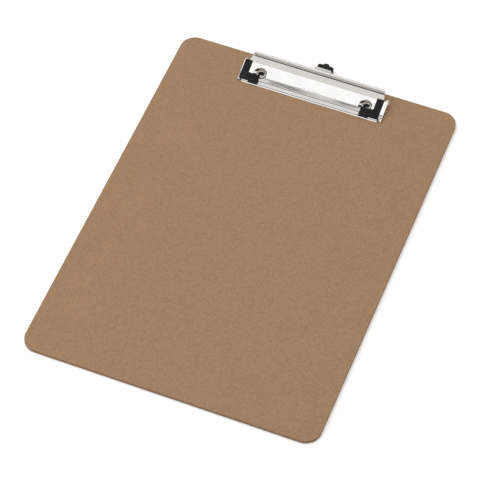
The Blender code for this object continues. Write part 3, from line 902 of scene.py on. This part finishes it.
for waste in (front_corner, slit, behind_hump):
    pick(jaw, waste, "faces")
    bpy.ops.mesh.delete(type="FACE")
bpy.ops.mesh.select_mode(type="VERT")
pick(
    jaw,
    lambda point: abs(abs(point.x) - REAR_COLUMN) < EDGE and abs(point.y - hump_end_y) < EDGE,
)
bpy.ops.transform.resize(
    value=(HUMP_COLUMN / REAR_COLUMN, 1.0, 1.0), center_override=(0.0, 0.0, 0.0)
)
print("trimmed strip:", len(bmesh.from_edit_mesh(jaw.data).faces), "faces")

# %% [markdown]
# The skirts end behind in a round ear beside the hump. The ear is the hump's own side edge, carried
# on round the pin by spin, so it has the hump's radius. The skirt's lower rear corner is then
# trimmed to the same round by six straight strokes, each touching the circle, as with a file.

# %% Fold the ears and the skirts
SKIRT_BEND = 2.0 * MM
FILE_STROKES = 6
for side in (-1, 1):
    bpy.ops.mesh.select_mode(type="EDGE")
    pick(
        jaw,
        lambda point: side * point.x > SKIRT_COLUMN - EDGE and abs(point.y - hump_end_y) < EDGE,
        "edges",
    )
    turn = 90.0 + math.degrees(level) - EAR_END
    pin_centre = (0.0, PIN_Y, PIN_Z)
    bpy.ops.mesh.spin(
        steps=8, angle=math.radians(turn), center=pin_centre, axis=(1.0, 0.0, 0.0)
    )
for side in (-1, 1):
    pick(jaw, lambda point: side * point.x > HALF_WIDTH - EDGE, "edges")
    bpy.ops.mesh.extrude_edges_move(TRANSFORM_OT_translate={"value": (0.0, 0.0, -MM)})
    bpy.ops.transform.resize(value=(1.0, 1.0, 0.0), center_override=(0.0, 0.0, foot_z))
done()


def sharp_side_fold(edge):
    at_side = all(abs(abs(vert.co.x) - HALF_WIDTH) < EDGE for vert in edge.verts)
    if not at_side or len(edge.link_faces) != 2:
        return False
    return edge.link_faces[0].normal.angle(edge.link_faces[1].normal, 0.0) > math.radians(45.0)


edit(jaw, "EDGE")
pick_by(jaw, "edges", sharp_side_fold)
bpy.ops.mesh.bevel(offset=SKIRT_BEND, segments=7, affect="EDGES", clamp_overlap=True)
for stroke in range(FILE_STROKES):
    angle = math.radians(-15.0 * stroke - 7.5)
    normal = (0.0, math.cos(angle), math.sin(angle))
    touch = (0.0, PIN_Y + HUMP_RADIUS * normal[1], PIN_Z + HUMP_RADIUS * normal[2])
    for side in (-1, 1):
        bpy.ops.mesh.select_mode(type="FACE")
        pick(
            jaw,
            lambda point: side * point.x > HALF_WIDTH - EDGE and point.y > PIN_Y - 9 * MM,
            "faces",
        )
        bpy.ops.mesh.bisect(plane_co=touch, plane_no=normal, clear_outer=True)
done()
report(jaw)

# %% [markdown]
# Only now does the sheet get its thickness, on its inner side, so that the modelled surface stays the
# outer one. The two access holes, through which a punch reaches the eyelets, are drilled square to
# the plate, and the pin's hole goes through both skirts at once.

# %% Thicken, drill and finish the jaw
ACCESS_RADIUS = 5.5 * MM
ACCESS_Y = EYELET_Y - 1.2 * MM
PIN_HOLE = 1.09 * MM
edit(jaw)
bpy.ops.mesh.select_all(action="SELECT")
bpy.ops.mesh.remove_doubles(threshold=0.004 * MM)
done()
thicken(jaw, SHEET, -1)
across_plate = (0.0, -math.sin(PLATE_SLOPE), math.cos(PLATE_SLOPE))
THROUGH_CLIP = 130 * MM  # longer than the clip is wide
for side in (-1, 1):
    centre = (side * EYELET_X, ACCESS_Y, base_low.z)
    join_or_cut(jaw, drill_bit(ACCESS_RADIUS, centre, across_plate, 40 * MM, 96), "DIFFERENCE")
pin_drill = drill_bit(PIN_HOLE, (0.0, PIN_Y, PIN_Z), (1, 0, 0), THROUGH_CLIP)
join_or_cut(jaw, pin_drill, "DIFFERENCE")
soften(jaw, 0.12 * MM, 2, 50.0)
smooth(jaw, 30.0)
dress(jaw, "chrome_jaw", chrome, "jaw", "jaw_plate")

# %% [markdown]
# ## The corner grips
# A rubber L sits on each front corner of the jaw, so that the metal doesn't mark paper or fingers.
# One leg runs back along the side, the other lies along the front, and a lobe of it folds down over
# the lip. It is a thick strip folded along the same line as the jaw, a small gap above it. It is
# trimmed to the L while it is still thin, its corners are rounded in the plane, and then it gets its
# thickness and soft edges.

# %% Model one grip and mirror it
GRIP_GAP = 0.3 * MM
GRIP_THICKNESS = 0.8 * MM
GRIP_SHIFT = (grip_high.x + left_grip_low.x) / 2
GRIP_OUTER = grip_high.x - GRIP_SHIFT
GRIP_INNER = grip_low.x - GRIP_SHIFT
LEG_COLUMN = GRIP_OUTER - 5.6 * MM
LOBE_COLUMN = GRIP_OUTER - 7.8 * MM
FRONT_EDGE_Y = lip_y + 1.5 * MM
FRONT_LEG_Y = lip_y + 7.4 * MM
GRIP_REACH = 16.0  # degrees round the hump that the side leg follows
WRAP = 140.0  # the lobe ends at this angle round the lip's bend

# The first move has to be a run, so the lobe starts with a short straight tail that touches the
# bend's circle at the angle WRAP.
LOBE_TAIL = 0.15 * MM
wrap = math.radians(WRAP)
grip_radius = LIP_ROUND + GRIP_GAP
bend_y = lip_bend_y + LIP_ROUND * math.sin(LIP_LEAN)
bend_z = lip_bend_z - LIP_ROUND * math.cos(LIP_LEAN)
grip_start = (
    bend_y + grip_radius * math.cos(wrap) - LOBE_TAIL * math.sin(wrap),
    bend_z + grip_radius * math.sin(wrap) + LOBE_TAIL * math.cos(wrap),
)
grip_moves = [
    ("run", LOBE_TAIL),
    ("bend", LIP_ROUND + GRIP_GAP, slope + BROW[1] + 90.0 - WRAP),
    ("run", front_run),
    ("bend", BROW[0] + GRIP_GAP, -BROW[1]),
    ("run", plate_run),
    ("bend", HUMP_RADIUS + GRIP_GAP, -GRIP_REACH),
]


def round_flat_corners(piece, places, radius):
    """In edit mode: rounds the outline's corners that lie nearest to the (x, y) places."""
    bpy.ops.mesh.select_mode(type="VERT")
    for x, y in places:
        bpy.ops.mesh.select_all(action="DESELECT")
        work = bmesh.from_edit_mesh(piece.data)
        rim = [vert for vert in work.verts if vert.is_boundary]
        nearest = min(rim, key=lambda vert: math.hypot(vert.co.x - x, vert.co.y - y))
        nearest.select_set(True)
        bmesh.update_edit_mesh(piece.data)
        bpy.ops.mesh.bevel(offset=radius, segments=6, affect="VERTICES")


def corner_grip(side):
    ends = [GRIP_SHIFT + side * column for column in (GRIP_INNER, GRIP_OUTER)]
    lobe_x, leg_x = [GRIP_SHIFT + side * column for column in (LOBE_COLUMN, LEG_COLUMN)]
    grip = fold_strip(min(ends), max(ends), grip_start, WRAP - 90.0, grip_moves)
    edit(grip, "FACE")
    for column in (lobe_x, leg_x):
        slice_at(grip, (column, 0.0, 0.0), (1.0, 0.0, 0.0))
    for row in (FRONT_EDGE_Y, FRONT_LEG_Y):
        slice_at(grip, (0.0, row, 0.0), (0.0, 1.0, 0.0))

    def beyond_lobe(point):
        return side * (point.x - lobe_x) > -EDGE and point.y < FRONT_EDGE_Y + EDGE

    def behind_leg(point):
        return side * (point.x - leg_x) < EDGE and point.y > FRONT_LEG_Y - EDGE

    for waste in (beyond_lobe, behind_leg):
        pick(grip, waste, "faces")
        bpy.ops.mesh.delete(type="FACE")
    round_flat_corners(grip, [(leg_x, FRONT_LEG_Y)], 1.2 * MM)
    round_flat_corners(grip, [(ends[0], FRONT_LEG_Y), (lobe_x, FRONT_EDGE_Y)], 1.0 * MM)
    done()
    thicken(grip, GRIP_THICKNESS, 1)
    soften(grip, 0.32 * MM, 3, 40.0)
    smooth(grip, 50.0)
    return grip


for side, word in ((-1, "left"), (1, "right")):
    name, node = word + "_rubber_corner", word + "_corner_grip"
    dress(corner_grip(side), name, rubber, "jaw", node)

# %% [markdown]
# ## Turned and rolled rings
# An eyelet is a short tube whose ends are rolled outwards by a punch. Its section is drawn as a list
# of radii and heights, and a circle is carried from one station to the next: extrude it in place,
# scale it to the next radius, move it to the next height. The last circle is bridged to the first,
# which closes the ring. The same helper, left open and filled, makes the pin.

# %% The turning helper


def carry_circle(stations, centre, sides, closed):
    """A ring or a closed shaft about Z; stations are (radius, height)."""
    begin()
    radius, height = stations[0]
    at = (centre[0], centre[1], centre[2] + height)
    bpy.ops.mesh.primitive_circle_add(vertices=sides, radius=radius, location=at)
    ring = bpy.context.object
    settle(ring)
    edit(ring, "EDGE")
    bpy.ops.mesh.select_all(action="SELECT")
    for new_radius, new_height in stations[1:]:
        rise = new_height - height
        bpy.ops.mesh.extrude_edges_move(TRANSFORM_OT_translate={"value": (0.0, 0.0, rise)})
        scale = new_radius / radius
        middle = (centre[0], centre[1], centre[2] + new_height)
        bpy.ops.transform.resize(value=(scale, scale, 1.0), center_override=middle)
        radius, height = new_radius, new_height
    bpy.ops.mesh.select_all(action="DESELECT")
    pick_by(ring, "edges", lambda edge: edge.is_boundary)
    if closed:
        bpy.ops.mesh.bridge_edge_loops()
    else:
        bpy.ops.mesh.fill_holes(sides=0)
    done()
    outward(ring)
    return ring


# %% Make the two eyelets
BORE = 2.4 * MM
BARREL = 2.9 * MM
FLANGE = 4.0 * MM
ROLL_HEIGHT = 0.6 * MM
flange_top, low_foot = eyelet_high.z, eyelet_low.z
flange_foot = flange_top - ROLL_HEIGHT
low_top = low_foot + ROLL_HEIGHT


def rolled(centre_radius, centre_height, half_width, half_height, start, end, steps):
    """Stations along part of an oval, from angle start to end in degrees; 0 is outward."""
    stations = []
    for k in range(steps + 1):
        angle = math.radians(start + (end - start) * k / steps)
        radius = centre_radius + half_width * math.cos(angle)
        stations.append((radius, centre_height + half_height * math.sin(angle)))
    return stations


roll_middle, roll_half = (BORE + FLANGE) / 2, (FLANGE - BORE) / 2
top_roll = rolled(roll_middle, flange_foot, roll_half, flange_top - flange_foot, 0.0, 180.0, 14)
low_roll = rolled(roll_middle, low_top, roll_half, low_top - low_foot, 180.0, 360.0, 14)
eyelet_section = [(BARREL, low_top), (BARREL, flange_foot), *top_roll, *low_roll]
for side, word in ((-1, "left"), (1, "right")):
    eyelet = carry_circle(eyelet_section, (side * EYELET_X, EYELET_Y, 0.0), 72, True)
    smooth(eyelet, 50.0)
    name, node = word + "_rolled_eyelet", word + "_eyelet"
    dress(eyelet, name, rolled_nickel, "board_body", node)

# %% [markdown]
# ## The pin
# The pin is a straight wire with a small domed head at each end, outside the skirts. It is turned
# upright with the helper above and then laid along X.

# %% Make the pin
PIN_RADIUS = 1.0 * MM
HEAD_RADIUS = 1.5 * MM
HEAD_HEIGHT = 0.5 * MM
head_start = pin_high.x - HEAD_HEIGHT
dome = rolled(0.0, head_start, HEAD_RADIUS, HEAD_HEIGHT, 0.0, 78.0, 7)
half_pin = [(PIN_RADIUS, 0.0), (PIN_RADIUS, head_start), *dome]
pin_section = [(radius, -height) for radius, height in half_pin[:0:-1]] + half_pin[1:]
pin = carry_circle(pin_section, (0.0, 0.0, 0.0), 48, False)
pin.rotation_euler = (0.0, math.radians(90.0), 0.0)
pin.location = (0.0, PIN_Y, PIN_Z)
settle(pin)
smooth(pin, 40.0)
dress(pin, "hinge_wire_pin", nickel, "board_body", "hinge_pin")

# %% [markdown]
# ## The springs
# Two torsion springs sit on the pin under the hump. Each is one wire: a leg that presses on the base
# plate, five and a half turns, and a leg that presses up under the level part of the jaw. A coil is
# a small circle carried round an axis while it moves along it, and that is what the Screw modifier
# does. The legs are extruded from its two ends.

# %% Wind the springs
WIRE = 0.8 * MM
COIL_RADIUS = 1.6 * MM
FULL_TURNS = 5
LEG = 4.2 * MM
BASE_LEG = 0.8 * LEG
spring_start = math.pi / 2 + level
spring_end = 1.5 * math.pi + 2 * math.pi * FULL_TURNS
coil_angle = spring_end - spring_start
coil_length = (spring_high.x - spring_low.x) - WIRE


def lay_along_x(first_x, angle):
    """Matrix that turns Z into X, and X into the direction at angle about the pin."""
    x_axis = Vector((0.0, math.cos(angle), math.sin(angle)))
    z_axis = Vector((1.0, 0.0, 0.0))
    turn = Matrix((x_axis, z_axis.cross(x_axis), z_axis)).transposed().to_4x4()
    return Matrix.Translation((first_x, PIN_Y, PIN_Z)) @ turn


def torsion_spring(middle_x):
    begin()
    first_x = middle_x - coil_length / 2
    bpy.ops.mesh.primitive_circle_add(
        vertices=12,
        radius=WIRE / 2,
        location=(COIL_RADIUS, 0.0, 0.0),
        rotation=(math.pi / 2, 0.0, 0.0),
    )
    coil = bpy.context.object
    settle(coil)
    screw = coil.modifiers.new("winding", "SCREW")
    screw.axis = "Z"
    screw.angle = coil_angle
    screw.screw_offset = coil_length
    screw.steps = screw.render_steps = round(math.degrees(coil_angle) / 10.0)
    screw.use_merge_vertices = True
    apply_all(coil)
    # The coil was wound about Z from +X. It is laid along +X, starting straight above the level part.
    coil.matrix_world = lay_along_x(first_x, spring_start)
    settle(coil)
    edit(coil, "EDGE")
    pick_by(coil, "edges", lambda edge: edge.is_boundary and edge.verts[0].co.x < middle_x)
    up_leg = (0.0, LEG * math.cos(level), LEG * math.sin(level))
    bpy.ops.mesh.extrude_edges_move(TRANSFORM_OT_translate={"value": up_leg})
    bpy.ops.mesh.edge_face_add()
    bpy.ops.mesh.select_all(action="DESELECT")
    pick_by(coil, "edges", lambda edge: edge.is_boundary)
    bpy.ops.mesh.extrude_edges_move(TRANSFORM_OT_translate={"value": (0.0, BASE_LEG, 0.0)})
    bpy.ops.mesh.edge_face_add()
    done()
    outward(coil)
    smooth(coil, 60.0)
    return coil


for side, word in ((-1, "left"), (1, "right")):
    middle = side * (spring_low.x + spring_high.x) / 2
    spring = torsion_spring(middle)
    spring.name = word + "_wound_spring"
    spring.data.materials.append(nickel)
    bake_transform(spring)
    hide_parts(word + "_spring")
    report(spring)

# %% [markdown]
# ## The base plate
# The strip that the eyelets clamp to the board shows through the jaw's two holes and a little behind
# the hump. It is pressed from the same sheet as the jaw. It starts as a flat plane, sliced where it
# folds: the middle columns are lifted to make the hanger's raised channel, and the ears for the
# pin stand up at its ends. Near its rear edge the channel narrows to a throat, where the hanger's
# ears stop.

# %% Press the base plate
PLATE_INSET = 0.4 * MM  # of the flat strip's ends from the plain solid's
base_half = base_high.x - PLATE_INSET
CHANNEL_HALF = 8.4 * MM
THROAT_HALF = 7.2 * MM
CHANNEL_LIFT = 0.9 * MM
SHOULDER = 0.8 * MM
base_top = base_low.z + SHEET
throat_start = base_high.y - 2.7 * MM
throat_end = base_high.y - 1.5 * MM

begin()
bpy.ops.mesh.primitive_plane_add(size=1.0, location=(0.0, (base_low.y + base_high.y) / 2, base_top))
base = bpy.context.object
base.scale = (2 * base_half, base_high.y - base_low.y, 1.0)
settle(base)
edit(base, "FACE")
for column in (CHANNEL_HALF + SHOULDER, CHANNEL_HALF):
    for side in (-1, 1):
        slice_at(base, (side * column, 0.0, 0.0), (1.0, 0.0, 0.0))
for row in (throat_start, throat_end):
    slice_at(base, (0.0, row, 0.0), (0.0, 1.0, 0.0))
bpy.ops.mesh.select_mode(type="VERT")
pick(base, lambda point: abs(point.x) < CHANNEL_HALF + EDGE)
bpy.ops.transform.translate(value=(0.0, 0.0, CHANNEL_LIFT))
for column in (CHANNEL_HALF, CHANNEL_HALF + SHOULDER):
    narrow = column - CHANNEL_HALF + THROAT_HALF
    pick(base, lambda point: abs(abs(point.x) - column) < EDGE and point.y > throat_end - EDGE)
    bpy.ops.transform.resize(value=(narrow / column, 1.0, 1.0), center_override=(0.0, 0.0, 0.0))
round_flat_corners(
    base,
    [(sx * base_half, y) for sx in (-1, 1) for y in (base_low.y, base_high.y)],
    1.5 * MM,
)
done()
thicken(base, SHEET, -1)
print("base plate sheet:", len(base.data.polygons), "faces")

# %% Raise the pin ears
EAR_RADIUS = 2.0 * MM
EAR_HALF_LENGTH = 3.2 * MM
EAR_SINK = 0.2 * MM  # how far the ears reach into the strip
ear_x = base_high.x - PLATE_INSET
for side in (-1, 1):
    begin()
    bpy.ops.mesh.primitive_cylinder_add(
        vertices=48,
        radius=EAR_RADIUS,
        depth=SHEET,
        location=(side * ear_x, PIN_Y, PIN_Z),
        rotation=(0.0, math.radians(90.0), 0.0),
    )
    ear = bpy.context.object
    settle(ear)
    edit(ear, "FACE")
    bpy.ops.mesh.select_all(action="SELECT")
    bpy.ops.mesh.bisect(
        plane_co=(0.0, PIN_Y, PIN_Z), plane_no=(0.0, 0.0, 1.0), clear_inner=True, use_fill=True
    )
    bpy.ops.mesh.select_all(action="DESELECT")
    pick(ear, lambda point: point.z < PIN_Z + EDGE, "faces")
    foot = base_low.z + EAR_SINK - PIN_Z
    bpy.ops.mesh.extrude_region_move(TRANSFORM_OT_translate={"value": (0.0, 0.0, foot)})
    spread = EAR_HALF_LENGTH / EAR_RADIUS
    bpy.ops.transform.resize(value=(1.0, spread, 1.0), center_override=(0.0, PIN_Y, PIN_Z))
    done()
    outward(ear)
    join_or_cut(base, ear, "UNION")
    centre = (side * EYELET_X, EYELET_Y, base_top)
    join_or_cut(base, drill_bit(BARREL_HOLE, centre, (0, 0, 1), 20 * MM), "DIFFERENCE")
pin_drill = drill_bit(PIN_HOLE, (0.0, PIN_Y, PIN_Z), (1, 0, 0), THROUGH_CLIP)
join_or_cut(base, pin_drill, "DIFFERENCE")
soften(base, 0.10 * MM, 2, 40.0)
smooth(base, 30.0)
dress(base, "pressed_base_plate", chrome, "board_body", "base_plate")

# %% [markdown]
# ## The hanger
# The hanger is a thin steel tongue that slides under the base plate's channel. Its rear end turns up
# behind the clip, so that a finger can draw it out, and a long slot in it takes the nail. Two ears
# at its front end catch in the channel when it is right out. It is one more folded strip: two runs
# with a small bend between them.

# %% Fold and slot the tongue
TONGUE = 0.6 * MM
BEND = 0.5 * MM
EAR_ROW = tongue_low.y + 2.0 * MM
TAPER_ROW = EAR_ROW + 0.3 * MM
TONGUE_HALF = 6.5 * MM
LIP_HALF = 7.0 * MM
SLOT_HALF = 3.2 * MM
LIP_CORNER = 0.9 * MM
SLOT_FRONT = board_high.y - 11.2 * MM
SLOT_REAR = board_high.y - 2.2 * MM
lip_inner_y = tongue_high.y - TONGUE
tongue_top = tongue_low.z + TONGUE

tongue = fold_strip(
    -tongue_high.x,
    tongue_high.x,
    (tongue_low.y, tongue_top),
    0.0,
    [
        ("run", lip_inner_y - BEND - tongue_low.y),
        ("bend", BEND, 90.0),
        ("run", tongue_high.z - tongue_top - BEND),
    ],
)
edit(tongue, "FACE")
for row in (EAR_ROW, TAPER_ROW, board_high.y, lip_inner_y - BEND):
    slice_at(tongue, (0.0, row, 0.0), (0.0, 1.0, 0.0))
bpy.ops.mesh.select_mode(type="VERT")
for first_row, last_row, half in (
    (TAPER_ROW, board_high.y, TONGUE_HALF),
    (board_high.y + 2 * EDGE, tongue_high.y, LIP_HALF),
):
    pick(tongue, lambda point: first_row - EDGE < point.y < last_row + EDGE)
    bpy.ops.transform.resize(
        value=(half / tongue_high.x, 1.0, 1.0), center_override=(0.0, 0.0, 0.0)
    )
pick_by(
    tongue, "verts", lambda vert: abs(vert.co.z - tongue_high.z) < EDGE and vert.is_boundary
)
bpy.ops.mesh.bevel(offset=LIP_CORNER, segments=6, affect="VERTICES")
done()
thicken(tongue, TONGUE, -1)
slot_length = SLOT_REAR - SLOT_FRONT
for y in (SLOT_FRONT + SLOT_HALF, SLOT_REAR - SLOT_HALF):
    slot_end = drill_bit(SLOT_HALF, (0.0, y, tongue_top), (0, 0, 1), 5 * MM)
    join_or_cut(tongue, slot_end, "DIFFERENCE")
begin()
bpy.ops.mesh.primitive_cube_add(size=1.0, location=(0.0, (SLOT_FRONT + SLOT_REAR) / 2, tongue_top))
bar = bpy.context.object
bar.scale = (2 * SLOT_HALF, slot_length - 2 * SLOT_HALF, 5 * MM)
settle(bar)
join_or_cut(tongue, bar, "DIFFERENCE")
soften(tongue, 0.08 * MM, 2, 40.0)
smooth(tongue, 30.0)
dress(tongue, "sliding_tongue", chrome, "hanger", "hanger_tongue")

# %% [markdown]
# ## The finger pad
# The pad behind the tongue's lip is a black moulding with three round lobes, which gives two
# fingertips something to pull on. Three upright cylinders and a bar are joined into one body, and a
# generous rounding on every edge makes it a moulding and not four sawn pieces. The joins leave points
# almost on top of each other, which are merged before the edges are rounded. The merge is not a
# repair: the rounded mesh still has a few open edges and overlapping faces, so this piece is one to
# build again from a single outline, extruded upwards.

# %% Mould the pad
SIDE_LOBE = 2.5 * MM
MID_LOBE = 3.0 * MM
SIDE_REACH = 1.4 * MM  # of the side lobes' middles behind the lip
BACKING = (12.0 * MM, 1.8 * MM)  # width and depth of the bar that joins the lobes
pad_height = pad_high.z - pad_low.z
pad_x = (pad_high.x + pad_low.x) / 2
pad_z = (pad_high.z + pad_low.z) / 2
lobe_from_middle = pad_high.x - pad_x - SIDE_LOBE

begin()
bpy.ops.mesh.primitive_cube_add(size=1.0, location=(pad_x, pad_low.y + BACKING[1] / 2, pad_z))
pad = bpy.context.object
pad.scale = (*BACKING, pad_height)
settle(pad)
for x, radius, reach in (
    (pad_x - lobe_from_middle, SIDE_LOBE, SIDE_REACH),
    (pad_x + lobe_from_middle, SIDE_LOBE, SIDE_REACH),
    (pad_x, MID_LOBE, pad_high.y - pad_low.y - MID_LOBE),
):
    lobe = drill_bit(radius, (x, pad_low.y + reach, pad_z), (0, 0, 1), pad_height, 56)
    join_or_cut(pad, lobe, "UNION")
edit(pad, "FACE")
bpy.ops.mesh.select_all(action="SELECT")
bpy.ops.mesh.bisect(plane_co=pad_low, plane_no=(0.0, 1.0, 0.0), clear_inner=True, use_fill=True)
bpy.ops.mesh.select_all(action="SELECT")
bpy.ops.mesh.remove_doubles(threshold=0.03 * MM)
bpy.ops.mesh.dissolve_degenerate(threshold=0.02 * MM)
done()
soften(pad, 0.45 * MM, 4, 40.0)
smooth(pad, 50.0)
dress(pad, "three_lobed_pad", plastic, "hanger", "hanger_grip")

# %% [markdown]
# ## The floor
# The board lies on a plain pale table. The floor is a wide sheet that isn't part of the object. It
# is nearly white, with a faint unevenness so that it doesn't look computed.

# %% Lay the floor
begin()
bpy.ops.mesh.primitive_plane_add(size=6.0, location=(0.0, 0.0, board_low.z))
floor = bpy.context.object
floor.name = "studio_floor"
paper, tree, shader, place = start_material("pale_paper")
paper_tone = noise(tree, place, 3.0, 2.0, 0.5)
tree.links.new(
    coloured(tree, between(tree, paper_tone, 0.3, 0.7), (0.92, 0.92, 0.92), (0.95, 0.95, 0.95)),
    shader.inputs["Base Color"],
)
shader.inputs["Roughness"].default_value = 0.9
floor.data.materials.append(paper)
floor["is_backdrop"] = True
print("floor laid")

# %% [markdown]
# ## Last checks
# The dressed object has to keep the mechanism's size.

# %% Write the sizes and finish
new_low, new_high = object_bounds()
pairs = zip([*new_low, *new_high], [*cad_low, *cad_high])
print("growth of the box in mm:", [round((new - old) / MM, 2) for new, old in pairs])
